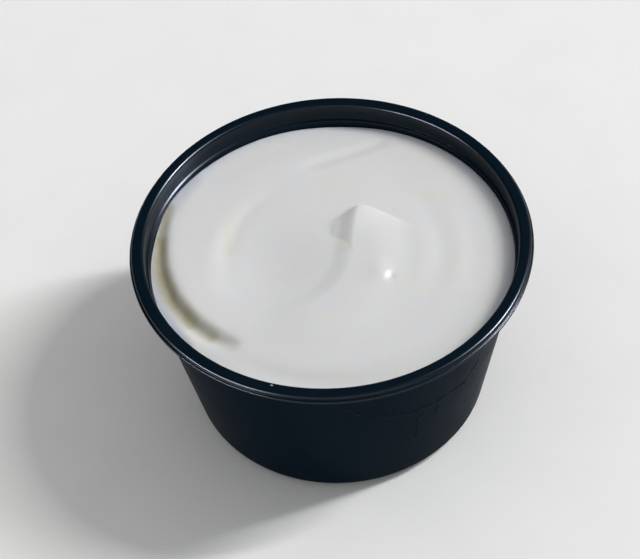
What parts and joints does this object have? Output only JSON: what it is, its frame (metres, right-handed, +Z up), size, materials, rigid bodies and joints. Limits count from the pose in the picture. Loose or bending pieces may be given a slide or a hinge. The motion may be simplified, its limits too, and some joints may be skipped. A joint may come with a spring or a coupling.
{
  "type": "portion cup of sour cream",
  "caption": "Small round plastic portion cup with a tapered wall, rounded heel and flanged rim, filled with smooth sour cream that has a spoon fold, a soft peak and a crevice at the wall.",
  "frame": {"origin": "centre of the flat base, on the surface that the cup stands on", "axes": "+Z up along the cup's axis, -Y towards the viewer, +X to the viewer's right"},
  "size_m": [0.074, 0.074, 0.04],
  "materials": {
    "cup_plastic": "blue-black moulded plastic, satin gloss",
    "cream": "smooth thick dairy cream, off-white, soft sheen"
  },
  "bodies": {
    "root": {"portion_cup": "cup_plastic", "sour_cream": "cream"}
  },
  "joints": []
}
